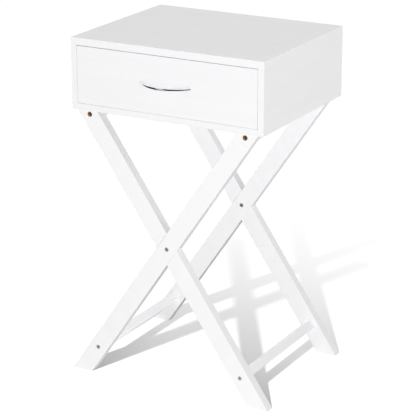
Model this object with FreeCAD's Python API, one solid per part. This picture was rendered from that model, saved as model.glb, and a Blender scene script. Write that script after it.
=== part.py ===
import FreeCAD, Part
import math
import os

# Bedside side table: a box cabinet with one drawer, carried by two crossed-leg frames.
# Millimetres. +X is the table's right, the front faces -Y, +Z is up, and z = 0 is the floor.
# The origin is the bottom centre of the whole table's box, pull included.

# ---- Driving dimensions ---------------------------------------------------------------------

TABLE_HEIGHT = 664.0
CABINET_WIDTH = 400.0
CABINET_DEPTH = 326.0
CABINET_HEIGHT = 136.0
TOP_THICKNESS = 14.0
PANEL_THICKNESS = 12.0
BACK_THICKNESS = 3.0
BACK_INSET = 8.0                # from the cabinet's back edge to the back panel
GROOVE_DEPTH = 5.0
GROOVE_PLAY = 0.2
BOARD_ROUNDING = 0.3

LEG_WIDTH = 35.0
LEG_THICKNESS = 20.0
LEG_ROUNDING = 1.0
FOOT_SPREAD = 192.5             # leg centreline to the middle, at the floor
LEG_TOP_SPREAD = 167.5          # the same, under the cabinet
FRONT_FRAME_INSET = 1.5
BACK_FRAME_INSET = 7.0
LAP_PLAY = 0.1
RAIL_WIDTH = 30.0
RAIL_HEIGHT = 14.0
STRETCHER_SIZE = 17.0
STRETCHER_HEIGHT = 55.0         # its centreline above the floor

DRAWER_SIDE_GAP = 0.5           # between the inset drawer front and the cabinet
DRAWER_TOP_GAP = 0.9
DRAWER_BOTTOM_GAP = 0.3
DRAWER_FRONT_THICKNESS = 15.0
DRAWER_BOX_WIDTH = 351.0
DRAWER_BOX_LENGTH = 270.0
DRAWER_BOX_HEIGHT = 80.0
DRAWER_BOX_LIFT = 10.0          # box bottom above the cabinet floor
DRAWER_FLOOR_THICKNESS = 3.0
DRAWER_FLOOR_LIFT = 8.0         # floor above the lower edge of the sides
DRAWER_TRAVEL = 190.0

PULL_PROJECTION = 25.0
PULL_SPAN = 108.0
PULL_SCREW_SPACING = 88.9
PULL_SCREW_GRIP = 5.0           # of each screw in the pull
PULL_BOW_THICKNESS = 4.5
PULL_MIDDLE_HEIGHT = 7.5
PULL_END_HEIGHT = 6.5
PULL_LIFT = 1.5                 # above the middle of the drawer opening

RUNNER_LENGTH = 250.0
RUNNER_SHEET = 1.2
CABINET_RUNNER_START = 2.0      # behind the drawer front
DRAWER_RUNNER_START = 0.5
RUNNER_LIFT = 5.0               # channel floor above the drawer box's lower edge
RUNNER_ROOF_PLAY = 0.7          # between the drawer runner's flange and the channel roof
ROLLER_RADIUS = 7.5
ROLLER_WIDTH = 5.6
ROLLER_GAP = 0.3                # round a roller, except at its axle
FRONT_ROLLER_LIFT = 0.5         # above the channel floor
ROLLER_STANDOFF = 0.8           # between a roller and the sheet that carries it
AXLE_RADIUS = 2.0
AXLE_PLAY = 0.06
AXLE_INSET = 9.0                # from a runner's end to the roller's axle
STOP_HEIGHT = 3.0

SCREW_PLAY = 0.08

# ---- Planes worked out from them ------------------------------------------------------------

FRONT_Y = (PULL_PROJECTION - CABINET_DEPTH) / 2
BACK_Y = FRONT_Y + CABINET_DEPTH
HALF_WIDTH = CABINET_WIDTH / 2
INNER_X = HALF_WIDTH - PANEL_THICKNESS
UNDERSIDE_Z = TABLE_HEIGHT - CABINET_HEIGHT
FLOOR_Z = UNDERSIDE_Z + PANEL_THICKNESS
CEILING_Z = TABLE_HEIGHT - TOP_THICKNESS

LEG_SLOPE = (FOOT_SPREAD + LEG_TOP_SPREAD) / UNDERSIDE_Z
LEG_ANGLE = math.degrees(math.atan(LEG_SLOPE))
CROSSING_Z = FOOT_SPREAD / LEG_SLOPE
FRONT_LEG_Y = FRONT_Y + FRONT_FRAME_INSET
BACK_LEG_Y = BACK_Y - BACK_FRAME_INSET - LEG_THICKNESS
BAR_START_Y = FRONT_LEG_Y + LEG_THICKNESS
BAR_END_Y = BACK_LEG_Y

DRAWER_FACE_BACK_Y = FRONT_Y + DRAWER_FRONT_THICKNESS
DRAWER_SIDE_X = DRAWER_BOX_WIDTH / 2
DRAWER_INNER_X = DRAWER_SIDE_X - PANEL_THICKNESS
DRAWER_BOX_Z = FLOOR_Z + DRAWER_BOX_LIFT
DRAWER_BOX_END_Y = DRAWER_FACE_BACK_Y + DRAWER_BOX_LENGTH
PULL_Z = (FLOOR_Z + CEILING_Z) / 2 + PULL_LIFT

CHANNEL_FLOOR_Z = DRAWER_BOX_Z + RUNNER_LIFT
FRONT_ROLLER_Z = CHANNEL_FLOOR_Z + FRONT_ROLLER_LIFT + ROLLER_RADIUS
REAR_ROLLER_Z = CHANNEL_FLOOR_Z + ROLLER_GAP + ROLLER_RADIUS
RIDER_Z = FRONT_ROLLER_Z + ROLLER_RADIUS + ROLLER_GAP
CHANNEL_ROOF_Z = RIDER_Z + RUNNER_SHEET + RUNNER_ROOF_PLAY
CABINET_RUNNER_Y = DRAWER_FACE_BACK_Y + CABINET_RUNNER_START
DRAWER_RUNNER_Y = DRAWER_FACE_BACK_Y + DRAWER_RUNNER_START
FRONT_AXLE_Y = CABINET_RUNNER_Y + AXLE_INSET
REAR_AXLE_Y = DRAWER_RUNNER_Y + RUNNER_LENGTH - AXLE_INSET

X_AXIS = FreeCAD.Vector(1, 0, 0)
Y_AXIS = FreeCAD.Vector(0, 1, 0)
Z_AXIS = FreeCAD.Vector(0, 0, 1)
SIDES = ("left", "right")


# ---- Shape helpers --------------------------------------------------------------------------

def box(x, y, z):
    """A block between three (low, high) pairs."""
    corner = FreeCAD.Vector(x[0], y[0], z[0])
    return Part.makeBox(x[1] - x[0], y[1] - y[0], z[1] - z[0], corner)


def board(x, y, z, rounding=BOARD_ROUNDING):
    """A block with every edge a little rounded."""
    block = box(x, y, z)
    return block.makeFillet(rounding, block.Edges)


def both_ways(half):
    return (-half, half)


def turned(profile):
    """A solid of revolution about Z from the (radius, z) points of its closed outline."""
    points = [FreeCAD.Vector(radius, 0, z) for radius, z in profile]
    face = Part.Face(Part.makePolygon(points + points[:1]))
    return face.revolve(FreeCAD.Vector(0, 0, 0), Z_AXIS, 360)


def placed(shape, position, direction):
    """Move a shape made along +Z so that it starts at position and points in direction."""
    copy = shape.copy()
    rotation = FreeCAD.Rotation(Z_AXIS, FreeCAD.Vector(*direction))
    move = FreeCAD.Placement(FreeCAD.Vector(*position), rotation)
    copy.Placement = move.multiply(shape.Placement)
    return copy


def mirrored(shape):
    return shape.mirror(FreeCAD.Vector(0, 0, 0), X_AXIS)


def on_side(shape, side):
    """A shape modelled on the right, put on the side that is asked for."""
    return shape if side == "right" else mirrored(shape)


def on_both_sides(shapes):
    return list(shapes) + [mirrored(shape) for shape in shapes]


def cut_all(shape, tools):
    for tool in tools:
        shape = shape.cut(tool)
    return shape


# ---- Fasteners, each made along +Z with its head's face at z = 0 ----------------------------

HEAD_RIM = 0.4                  # straight edge round a countersunk head
HOLE_LEAD = 1.0                 # how far a hole's cutter stands out of the surface
HOLE_BOTTOM_PLAY = 0.5

def cross_recess(width, depth):
    """The cutter for a cross-head screw's recess."""
    arm = box(both_ways(width / 2), both_ways(width / 8), (-0.1, depth))
    turned_arm = box(both_ways(width / 8), both_ways(width / 2), (-0.1, depth))
    return arm.fuse(turned_arm)


def countersunk_screw(head_radius, shank_radius, length):
    """A flat-headed wood screw with a pointed end and a 90 degree head."""
    head_depth = head_radius - shank_radius + HEAD_RIM
    tip_length = 2 * shank_radius
    tip_radius = shank_radius * 0.15
    body = turned([
        (0, 0), (head_radius, 0), (head_radius, HEAD_RIM), (shank_radius, head_depth),
        (shank_radius, length - tip_length), (tip_radius, length), (0, length),
    ])
    return body.cut(cross_recess(head_radius * 1.1, head_depth * 0.6))


def countersunk_hole(head_radius, shank_radius, length):
    """Room for the same screw, its head flush with the surface."""
    head_depth = head_radius - shank_radius + HEAD_RIM + SCREW_PLAY
    wide = head_radius + SCREW_PLAY
    narrow = shank_radius + SCREW_PLAY
    end = length + HOLE_BOTTOM_PLAY
    return turned([
        (0, -HOLE_LEAD), (wide, -HOLE_LEAD), (wide, HEAD_RIM + SCREW_PLAY),
        (narrow, head_depth), (narrow, end), (0, end),
    ])


def pan_screw(head_radius, head_height, shank_radius, length):
    """A round-topped screw: the head stands in -Z and the shank runs in +Z."""
    tip_length = shank_radius
    body = turned([
        (0, -head_height), (head_radius * 0.6, -head_height), (head_radius, -head_height * 0.4),
        (head_radius, 0), (shank_radius, 0), (shank_radius, length - tip_length),
        (shank_radius * 0.4, length), (0, length),
    ])
    recess = cross_recess(head_radius * 1.1, head_height * 0.7)
    recess.translate(FreeCAD.Vector(0, 0, -head_height))
    return body.cut(recess)


def plain_hole(radius, length):
    """A hole for a shank, from just outside the surface."""
    wide = radius + SCREW_PLAY
    return turned([(0, -HOLE_LEAD), (wide, -HOLE_LEAD), (wide, length), (0, length)])


DOWEL_RADIUS = 3.0
DOWEL_HALF_LENGTH = 9.5
DOWEL_BEVEL = 0.8


def dowel():
    """A wooden dowel with bevelled ends, centred on the joint."""
    end = DOWEL_HALF_LENGTH
    end_radius = DOWEL_RADIUS - DOWEL_BEVEL
    return turned([
        (0, -end), (end_radius, -end), (DOWEL_RADIUS, DOWEL_BEVEL - end),
        (DOWEL_RADIUS, end - DOWEL_BEVEL), (end_radius, end), (0, end),
    ])


def dowel_hole():
    reach = DOWEL_HALF_LENGTH + HOLE_BOTTOM_PLAY
    wide = DOWEL_RADIUS + SCREW_PLAY
    return turned([(0, -reach), (wide, -reach), (wide, reach), (0, reach)])


CAM_RADIUS = 7.5
CAM_DEPTH = 9.4
CAM_SINK = 0.2                  # the disc sits this far below the board's face
CAM_REACH = 24.0                # from the joint to the disc's centre
CAM_BOLT_RADIUS = 2.5
CAM_BOLT_THREAD_RADIUS = 3.0
CAM_BOLT_THREAD_LENGTH = 9.5
CAM_BOLT_NECK_RADIUS = 1.7
CAM_BOLT_HEAD_RADIUS = 2.9
CAM_BOLT_COLLAR = 1.5
CAM_MOUTH_RADIUS = 3.3
CAM_BORE_RADIUS = 4.0


def cam_bolt():
    """A connecting bolt: thread in -Z, shank and head in +Z, the joint at z = 0."""
    head_start = CAM_REACH - 1.0
    head_end = CAM_REACH + 1.5
    return turned([
        (0, -CAM_BOLT_THREAD_LENGTH), (CAM_BOLT_THREAD_RADIUS, -CAM_BOLT_THREAD_LENGTH),
        (CAM_BOLT_THREAD_RADIUS, CAM_BOLT_COLLAR), (CAM_BOLT_RADIUS, CAM_BOLT_COLLAR),
        (CAM_BOLT_RADIUS, head_start - 3), (CAM_BOLT_NECK_RADIUS, head_start - 2),
        (CAM_BOLT_NECK_RADIUS, head_start), (CAM_BOLT_HEAD_RADIUS, head_start + 0.5),
        (CAM_BOLT_HEAD_RADIUS, head_end), (0, head_end),
    ])


def cam_thread_hole():
    length = CAM_BOLT_THREAD_LENGTH + HOLE_BOTTOM_PLAY
    return placed(plain_hole(CAM_BOLT_THREAD_RADIUS, length), (0, 0, 0), (0, 0, -1))


def cam_shank_hole():
    bore = CAM_BORE_RADIUS
    return turned([(0, -HOLE_LEAD), (bore, -HOLE_LEAD), (bore, CAM_REACH), (0, CAM_REACH)])


def cam_disc(bolt_direction):
    """A cam, face at z = 0 and body in -Z, open towards the bolt that comes from the joint."""
    disc = turned([(0, -CAM_DEPTH), (CAM_RADIUS, -CAM_DEPTH), (CAM_RADIUS, 0), (0, 0)])
    mouth_depth = CAM_SINK - PANEL_THICKNESS / 2
    mouth = Part.makeCylinder(CAM_MOUTH_RADIUS, CAM_RADIUS + CAM_MOUTH_RADIUS + HOLE_LEAD)
    start = FreeCAD.Vector(*bolt_direction) * -(CAM_RADIUS + HOLE_LEAD)
    mouth = placed(mouth, (start.x, start.y, mouth_depth), bolt_direction)
    recess = cross_recess(7.0, 2.0)
    recess = placed(recess, (0, 0, 0), (0, 0, -1))
    return disc.cut(mouth).cut(recess)


def cam_pocket():
    wide = CAM_RADIUS + SCREW_PLAY
    depth = CAM_SINK + CAM_DEPTH + SCREW_PLAY
    return turned([(0, -depth), (wide, -depth), (wide, HOLE_LEAD), (0, HOLE_LEAD)])


class CamJoint:
    """One knock-down fitting: a bolt in one board and a cam in the other."""

    def __init__(self, joint_point, bolt_direction, face_direction):
        joint = FreeCAD.Vector(*joint_point)
        along = FreeCAD.Vector(*bolt_direction)
        outward = FreeCAD.Vector(*face_direction)
        centre = joint + along * CAM_REACH + outward * (PANEL_THICKNESS / 2)
        disc_face = centre - outward * CAM_SINK
        # The disc is modelled with its face along +Z, so the bolt's direction is turned back.
        rotation = FreeCAD.Rotation(Z_AXIS, outward)
        local = rotation.inverted().multVec(along)
        self.bolt = placed(cam_bolt(), joint_point, bolt_direction)
        self.disc = placed(cam_disc((local.x, local.y, local.z)), tuple(disc_face), face_direction)
        self.thread_hole = placed(cam_thread_hole(), joint_point, bolt_direction)
        self.shank_hole = placed(cam_shank_hole(), joint_point, bolt_direction)
        self.pocket = placed(cam_pocket(), tuple(centre), face_direction)


# ---- Cabinet --------------------------------------------------------------------------------

PANEL_MIDDLE_X = HALF_WIDTH - PANEL_THICKNESS / 2
BOTTOM_MIDDLE_Z = UNDERSIDE_Z + PANEL_THICKNESS / 2
CAM_FRONT_INSET = 55.0
CAM_REAR_INSET = 65.0
CAM_YS = [FRONT_Y + CAM_FRONT_INSET, BACK_Y - CAM_REAR_INSET]
DOWEL_OFFSET = 28.0             # from a fitting, towards the nearer edge
DOWEL_YS = [CAM_YS[0] - DOWEL_OFFSET, CAM_YS[1] + DOWEL_OFFSET]
RUNNER_SCREW_RADIUS = 1.75
RUNNER_SCREW_HEAD_RADIUS = 3.2
RUNNER_SCREW_HEAD_HEIGHT = 1.4
CABINET_RUNNER_SCREW_YS = [CABINET_RUNNER_Y + distance for distance in (32.0, 122.0, 232.0)]
CABINET_RUNNER_SCREW_Z = (CHANNEL_FLOOR_Z + CHANNEL_ROOF_Z) / 2
CABINET_RUNNER_SCREW_LENGTH = 10.0
RAIL_SCREW_YS = [BAR_START_Y + distance for distance in (85.0, 195.0)]
RAIL_X = LEG_TOP_SPREAD - LEG_SLOPE * RAIL_HEIGHT / 2


def back_panel(play=0.0):
    """The hardboard back, held in grooves on all four sides; play makes the groove's cutter."""
    reach = GROOVE_DEPTH - 0.5 + play
    start = BACK_Y - BACK_INSET - BACK_THICKNESS
    return box(
        both_ways(INNER_X + reach),
        (start - play, start + BACK_THICKNESS + play),
        (FLOOR_Z - reach, CEILING_Z + reach),
    )


def right_carcass_joints():
    """The fittings at the right side panel: two up into the top, two in from the bottom."""
    top_joints = []
    bottom_joints = []
    for y in CAM_YS:
        top_joints.append(CamJoint((PANEL_MIDDLE_X, y, CEILING_Z), (0, 0, -1), (-1, 0, 0)))
        bottom_joints.append(CamJoint((INNER_X, y, BOTTOM_MIDDLE_Z), (-1, 0, 0), (0, 0, 1)))
    return top_joints, bottom_joints


def right_dowel_places():
    """Dowels beside the fittings, as (position, direction) pairs, top joint then bottom joint."""
    top = [((PANEL_MIDDLE_X, y, CEILING_Z), (0, 0, 1)) for y in DOWEL_YS]
    bottom = [((INNER_X, y, BOTTOM_MIDDLE_Z), (1, 0, 0)) for y in DOWEL_YS]
    return top, bottom


def make_cabinet():
    depth = (FRONT_Y, BACK_Y)
    top_joints, bottom_joints = right_carcass_joints()
    top_dowels, bottom_dowels = right_dowel_places()
    groove = back_panel(GROOVE_PLAY)

    top_holes = [joint.thread_hole for joint in top_joints]
    top_holes += [placed(dowel_hole(), *place) for place in top_dowels]
    top = board(both_ways(HALF_WIDTH), depth, (CEILING_Z, TABLE_HEIGHT))
    top = cut_all(top, on_both_sides(top_holes) + [groove])

    side = board((INNER_X, HALF_WIDTH), depth, (UNDERSIDE_Z, CEILING_Z))
    side_holes = [placed(dowel_hole(), *place) for place in top_dowels + bottom_dowels]
    side_holes += [joint.shank_hole for joint in top_joints]
    side_holes += [joint.pocket for joint in top_joints]
    side_holes += [joint.thread_hole for joint in bottom_joints]
    for y in CABINET_RUNNER_SCREW_YS:
        hole = plain_hole(RUNNER_SCREW_RADIUS, CABINET_RUNNER_SCREW_LENGTH)
        side_holes.append(placed(hole, (INNER_X, y, CABINET_RUNNER_SCREW_Z), (1, 0, 0)))
    side = cut_all(side, side_holes + [groove])

    bottom_holes = [placed(dowel_hole(), *place) for place in bottom_dowels]
    bottom_holes += [joint.shank_hole for joint in bottom_joints]
    bottom_holes += [joint.pocket for joint in bottom_joints]
    bottom_holes += rail_screw_shapes(countersunk_hole)
    bottom = board(both_ways(INNER_X), depth, (UNDERSIDE_Z, FLOOR_Z))
    bottom = cut_all(bottom, on_both_sides(bottom_holes) + [groove])

    joints = top_joints + bottom_joints
    dowels = [placed(dowel(), *place) for place in top_dowels + bottom_dowels]
    return {
        "top_panel": top,
        "left_side_panel": on_side(side, "left"),
        "right_side_panel": side,
        "bottom_panel": bottom,
        "back_panel": back_panel(),
        "carcass_dowels": on_both_sides(dowels),
        "carcass_cam_bolts": on_both_sides([joint.bolt for joint in joints]),
        "carcass_cam_discs": on_both_sides([joint.disc for joint in joints]),
    }


# ---- Crossed-leg stand ----------------------------------------------------------------------

CROSS_SCREW = (4.0, 2.0, 18.0)          # head radius, shank radius, length
STRETCHER_SCREW = (4.0, 2.0, 42.0)
RAIL_SCREW = (3.6, 1.9, 22.0)
TOP_SCREW_HEAD_RADIUS = 3.7
TOP_SCREW_HEAD_HEIGHT = 2.4
TOP_SCREW_SHANK_RADIUS = 2.2
TOP_SCREW_LENGTH = 38.0
COUNTERBORE_RADIUS = 4.5
COUNTERBORE_DEPTH = 6.0
TOP_SCREW_Z = UNDERSIDE_Z - RAIL_HEIGHT / 2
STRETCHER_X = FOOT_SPREAD - LEG_SLOPE * STRETCHER_HEIGHT


def leg_blank(lean, y, rounding, play=0.0):
    """A leg's overlong bar through the crossing; lean is +1 when its top is on the right."""
    half_length = TABLE_HEIGHT
    section_x = both_ways(LEG_WIDTH / 2 + play)
    bar = box(section_x, y, both_ways(half_length))
    if rounding:
        long_edges = [edge for edge in bar.Edges if edge.Length > half_length]
        bar = bar.makeFillet(rounding, long_edges)
    bar.rotate(FreeCAD.Vector(0, 0, 0), Y_AXIS, lean * LEG_ANGLE)
    bar.translate(FreeCAD.Vector(0, 0, CROSSING_Z))
    return bar


def rail_screw_shapes(maker):
    """Screws, or their holes, up through the right rail into the cabinet's bottom."""
    return [placed(maker(*RAIL_SCREW), (RAIL_X, y, UNDERSIDE_Z - RAIL_HEIGHT), (0, 0, 1))
            for y in RAIL_SCREW_YS]


def top_screw_hole():
    """Counterbore for the head, then a clearance hole for the shank."""
    bore = COUNTERBORE_RADIUS
    shank = TOP_SCREW_SHANK_RADIUS + SCREW_PLAY
    end = COUNTERBORE_DEPTH + TOP_SCREW_LENGTH + HOLE_BOTTOM_PLAY
    return turned([
        (0, -HOLE_LEAD), (bore, -HOLE_LEAD), (bore, COUNTERBORE_DEPTH),
        (shank, COUNTERBORE_DEPTH), (shank, end), (0, end),
    ])


def top_screw():
    """The same screw in place: its head bears on the bottom of the counterbore."""
    screw = pan_screw(TOP_SCREW_HEAD_RADIUS, TOP_SCREW_HEAD_HEIGHT,
                      TOP_SCREW_SHANK_RADIUS, TOP_SCREW_LENGTH)
    screw.translate(FreeCAD.Vector(0, 0, COUNTERBORE_DEPTH))
    return screw


def stand_screws(maker, x, z):
    """Shapes from maker on the right of both frames, driven in from each frame's outer face."""
    back_face_y = BACK_LEG_Y + LEG_THICKNESS
    return [
        placed(maker(), (x, FRONT_LEG_Y, z), (0, 1, 0)),
        placed(maker(), (x, back_face_y, z), (0, -1, 0)),
    ]


def make_stand():
    slab = box(both_ways(CABINET_WIDTH), both_ways(CABINET_DEPTH), (0, UNDERSIDE_Z))
    top_holes = on_both_sides(stand_screws(top_screw_hole, RAIL_X, TOP_SCREW_Z))
    foot_holes = on_both_sides(stand_screws(
        lambda: countersunk_hole(*STRETCHER_SCREW), STRETCHER_X, STRETCHER_HEIGHT))
    rail_holes = rail_screw_shapes(countersunk_hole)
    parts = {}
    cross_screws = []

    for frame, y in (("front", FRONT_LEG_Y), ("back", BACK_LEG_Y)):
        middle = y + LEG_THICKNESS / 2
        whole = (y, y + LEG_THICKNESS)
        front_half = (y - HOLE_LEAD, middle)
        rear_half = (middle, y + LEG_THICKNESS + HOLE_LEAD)
        cross_place = ((0, y, CROSSING_Z), (0, 1, 0))
        cross_hole = placed(countersunk_hole(*CROSS_SCREW), *cross_place)
        cross_screws.append(placed(countersunk_screw(*CROSS_SCREW), *cross_place))
        for foot, lean, notch_half in (("left", 1, rear_half), ("right", -1, front_half)):
            leg = leg_blank(lean, whole, LEG_ROUNDING).common(slab)
            notch = leg_blank(-lean, notch_half, 0, LAP_PLAY)
            parts[f"{frame}_{foot}_leg"] = cut_all(leg, [notch, cross_hole] + top_holes + foot_holes)

    rail = board(
        both_ways(RAIL_WIDTH / 2), (BAR_START_Y, BAR_END_Y), (UNDERSIDE_Z - RAIL_HEIGHT, UNDERSIDE_Z))
    rail.translate(FreeCAD.Vector(RAIL_X, 0, 0))
    rail = cut_all(rail, rail_holes + top_holes)

    half = STRETCHER_SIZE / 2
    stretcher = board(both_ways(half), (BAR_START_Y, BAR_END_Y), both_ways(half), LEG_ROUNDING)
    stretcher.rotate(FreeCAD.Vector(0, 0, 0), Y_AXIS, -LEG_ANGLE)
    stretcher.translate(FreeCAD.Vector(STRETCHER_X, 0, STRETCHER_HEIGHT))
    stretcher = cut_all(stretcher, foot_holes)

    for side in SIDES:
        parts[f"{side}_top_rail"] = on_side(rail, side)
        parts[f"{side}_stretcher"] = on_side(stretcher, side)
    parts["cross_screws"] = cross_screws
    parts["leg_top_screws"] = on_both_sides(stand_screws(top_screw, RAIL_X, TOP_SCREW_Z))
    parts["stretcher_screws"] = on_both_sides(stand_screws(
        lambda: countersunk_screw(*STRETCHER_SCREW), STRETCHER_X, STRETCHER_HEIGHT))
    parts["rail_screws"] = on_both_sides(rail_screw_shapes(countersunk_screw))
    return parts


# ---- Drawer ---------------------------------------------------------------------------------

DRAWER_CAM_Z = DRAWER_BOX_Z + 44.0
DRAWER_DOWEL_ZS = [DRAWER_CAM_Z - 22.0, DRAWER_CAM_Z + 24.0]
DRAWER_SIDE_MIDDLE_X = DRAWER_SIDE_X - PANEL_THICKNESS / 2
DRAWER_BACK_SCREW = (3.4, 1.8, 32.0)
DRAWER_BACK_SCREW_ZS = [DRAWER_BOX_Z + 24.0, DRAWER_BOX_Z + 62.0]
DRAWER_RUNNER_SCREW_YS = [DRAWER_RUNNER_Y + distance for distance in (25.0, 125.0, 215.0)]
DRAWER_RUNNER_SCREW_LENGTH = 7.0
PULL_SCREW_RADIUS = 2.0
PULL_SCREW_HEAD_RADIUS = 3.6
PULL_SCREW_HEAD_HEIGHT = 2.2
PULL_SCREW_LENGTH = DRAWER_FRONT_THICKNESS + PULL_SCREW_GRIP
PULL_TIP_WIDTH = 12.0           # of the crescent, where its tips meet the drawer
PULL_ROUNDING = 1.9


def drawer_floor(play=0.0):
    """The drawer's thin floor, held in grooves on all four sides; play makes the cutter."""
    reach = GROOVE_DEPTH - 0.5 + play
    floor_z = DRAWER_BOX_Z + DRAWER_FLOOR_LIFT
    return box(
        both_ways(DRAWER_INNER_X + reach),
        (DRAWER_FACE_BACK_Y - reach, DRAWER_BOX_END_Y - PANEL_THICKNESS + reach),
        (floor_z - play, floor_z + DRAWER_FLOOR_THICKNESS + play),
    )


def two_arc_face(first, second):
    """A flat face between two arcs, each given by its start, middle and end points."""
    first_points = [FreeCAD.Vector(*point) for point in first]
    second_points = [FreeCAD.Vector(*point) for point in second]
    edges = [
        Part.Arc(*first_points).toShape(),
        Part.makeLine(first_points[-1], second_points[0]),
        Part.Arc(*second_points).toShape(),
        Part.makeLine(second_points[-1], first_points[0]),
    ]
    return Part.Face(Part.Wire(edges))


def drawer_pull():
    """A bow pull: a crescent in plan, with a screw into each of the tips that meet the drawer."""
    tip = PULL_SPAN / 2
    inner_tip = tip - PULL_TIP_WIDTH
    inner_bulge = PULL_PROJECTION - PULL_BOW_THICKNESS
    half_middle = PULL_MIDDLE_HEIGHT / 2
    half_end = PULL_END_HEIGHT / 2
    plan = two_arc_face(
        [(-tip, 0, -half_middle), (0, -PULL_PROJECTION, -half_middle), (tip, 0, -half_middle)],
        [(inner_tip, 0, -half_middle), (0, -inner_bulge, -half_middle), (-inner_tip, 0, -half_middle)],
    )
    front_outline = two_arc_face(
        [(-tip, 0, half_end), (0, 0, half_middle), (tip, 0, half_end)],
        [(tip, 0, -half_end), (0, 0, -half_middle), (-tip, 0, -half_end)],
    )
    crescent = plan.extrude(FreeCAD.Vector(0, 0, PULL_MIDDLE_HEIGHT))
    lens = front_outline.extrude(FreeCAD.Vector(0, -PULL_PROJECTION - HOLE_LEAD, 0))
    bow = crescent.common(lens)
    long_edges = [edge for edge in bow.Edges if edge.Length > PULL_SCREW_SPACING / 2]
    bow = bow.makeFillet(PULL_ROUNDING, long_edges)

    hole = plain_hole(PULL_SCREW_RADIUS, PULL_SCREW_GRIP + HOLE_BOTTOM_PLAY)
    bow = cut_all(bow, on_both_sides([placed(hole, (PULL_SCREW_SPACING / 2, 0, 0), (0, -1, 0))]))
    bow.translate(FreeCAD.Vector(0, FRONT_Y, PULL_Z))
    return bow


def make_drawer():
    box_height = (DRAWER_BOX_Z, DRAWER_BOX_Z + DRAWER_BOX_HEIGHT)
    groove = drawer_floor(GROOVE_PLAY)
    cam = CamJoint((DRAWER_SIDE_MIDDLE_X, DRAWER_FACE_BACK_Y, DRAWER_CAM_Z), (0, 1, 0), (-1, 0, 0))
    dowel_places = [((DRAWER_SIDE_MIDDLE_X, DRAWER_FACE_BACK_Y, z), (0, 1, 0))
                    for z in DRAWER_DOWEL_ZS]
    dowel_holes = [placed(dowel_hole(), *place) for place in dowel_places]
    back_middle_y = DRAWER_BOX_END_Y - PANEL_THICKNESS / 2
    back_screw_places = [((DRAWER_SIDE_X, back_middle_y, z), (-1, 0, 0))
                         for z in DRAWER_BACK_SCREW_ZS]
    back_screw_holes = [placed(countersunk_hole(*DRAWER_BACK_SCREW), *place)
                        for place in back_screw_places]
    pull_screw_place = ((PULL_SCREW_SPACING / 2, DRAWER_FACE_BACK_Y, PULL_Z), (0, -1, 0))

    front = board(
        both_ways(INNER_X - DRAWER_SIDE_GAP),
        (FRONT_Y, DRAWER_FACE_BACK_Y),
        (FLOOR_Z + DRAWER_BOTTOM_GAP, CEILING_Z - DRAWER_TOP_GAP),
    )
    pull_hole = placed(plain_hole(PULL_SCREW_RADIUS, DRAWER_FRONT_THICKNESS + 1), *pull_screw_place)
    front_holes = on_both_sides([cam.thread_hole, pull_hole] + dowel_holes)
    front = cut_all(front, front_holes + [groove])

    side = board((DRAWER_INNER_X, DRAWER_SIDE_X), (DRAWER_FACE_BACK_Y, DRAWER_BOX_END_Y), box_height)
    side_holes = [groove, cam.shank_hole, cam.pocket] + dowel_holes + back_screw_holes
    for y in DRAWER_RUNNER_SCREW_YS:
        hole = plain_hole(RUNNER_SCREW_RADIUS, DRAWER_RUNNER_SCREW_LENGTH)
        side_holes.append(placed(hole, (DRAWER_SIDE_MIDDLE_X, y, DRAWER_BOX_Z), (0, 0, 1)))
    side = cut_all(side, side_holes)

    back = board(
        both_ways(DRAWER_INNER_X), (DRAWER_BOX_END_Y - PANEL_THICKNESS, DRAWER_BOX_END_Y), box_height)
    back = cut_all(back, on_both_sides(back_screw_holes) + [groove])

    pull_screw = pan_screw(
        PULL_SCREW_HEAD_RADIUS, PULL_SCREW_HEAD_HEIGHT, PULL_SCREW_RADIUS, PULL_SCREW_LENGTH)
    pull_screw = placed(pull_screw, *pull_screw_place)
    back_screws = [placed(countersunk_screw(*DRAWER_BACK_SCREW), *place)
                   for place in back_screw_places]
    dowels = [placed(dowel(), *place) for place in dowel_places]
    return {
        "drawer_front": front,
        "drawer_left_side": on_side(side, "left"),
        "drawer_right_side": side,
        "drawer_back": back,
        "drawer_floor": drawer_floor(),
        "drawer_pull": drawer_pull(),
        "pull_screws": on_both_sides([pull_screw]),
        "drawer_dowels": on_both_sides(dowels),
        "drawer_cam_bolts": on_both_sides([cam.bolt]),
        "drawer_cam_discs": on_both_sides([cam.disc]),
        "drawer_back_screws": on_both_sides(back_screws),
    }


# ---- Roller runners, modelled on the right --------------------------------------------------

CHANNEL_LIP_X = INNER_X - 9.4           # the channel's flanges reach in to here
RIDER_X = DRAWER_SIDE_X + 10.1          # the drawer runner's flange reaches out to here
SHELF_SETBACK = 0.5                     # of its shelf, from the drawer side's inner face
FRONT_ROLLER_X = INNER_X - RUNNER_SHEET - ROLLER_STANDOFF
REAR_ROLLER_X = DRAWER_SIDE_X + RUNNER_SHEET + ROLLER_STANDOFF
AXLE_HEAD_RADIUS = 3.4
AXLE_HEAD_THICKNESS = 0.8
AXLE_HEAD_BEVEL = 0.3
ROLLER_RIM_BEVEL = 0.6
ROLLER_HUB_RADIUS = 4.0
ROLLER_DISH_RADIUS = 5.8
ROLLER_DISH_DEPTH = 0.8


def roller():
    """A nylon wheel along +Z: bevelled rims, a dish round the hub and a bore for its axle."""
    bevel_radius = ROLLER_RADIUS - ROLLER_RIM_BEVEL
    bore_radius = AXLE_RADIUS + AXLE_PLAY
    dish_z = ROLLER_WIDTH - ROLLER_DISH_DEPTH
    profile = [
        (bore_radius, 0), (bevel_radius, 0), (ROLLER_RADIUS, ROLLER_RIM_BEVEL),
        (ROLLER_RADIUS, ROLLER_WIDTH - ROLLER_RIM_BEVEL), (bevel_radius, ROLLER_WIDTH),
        (ROLLER_DISH_RADIUS, ROLLER_WIDTH), (ROLLER_DISH_RADIUS, dish_z),
        (ROLLER_HUB_RADIUS, dish_z), (ROLLER_HUB_RADIUS, ROLLER_WIDTH),
        (bore_radius, ROLLER_WIDTH),
    ]
    return turned(profile)


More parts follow.
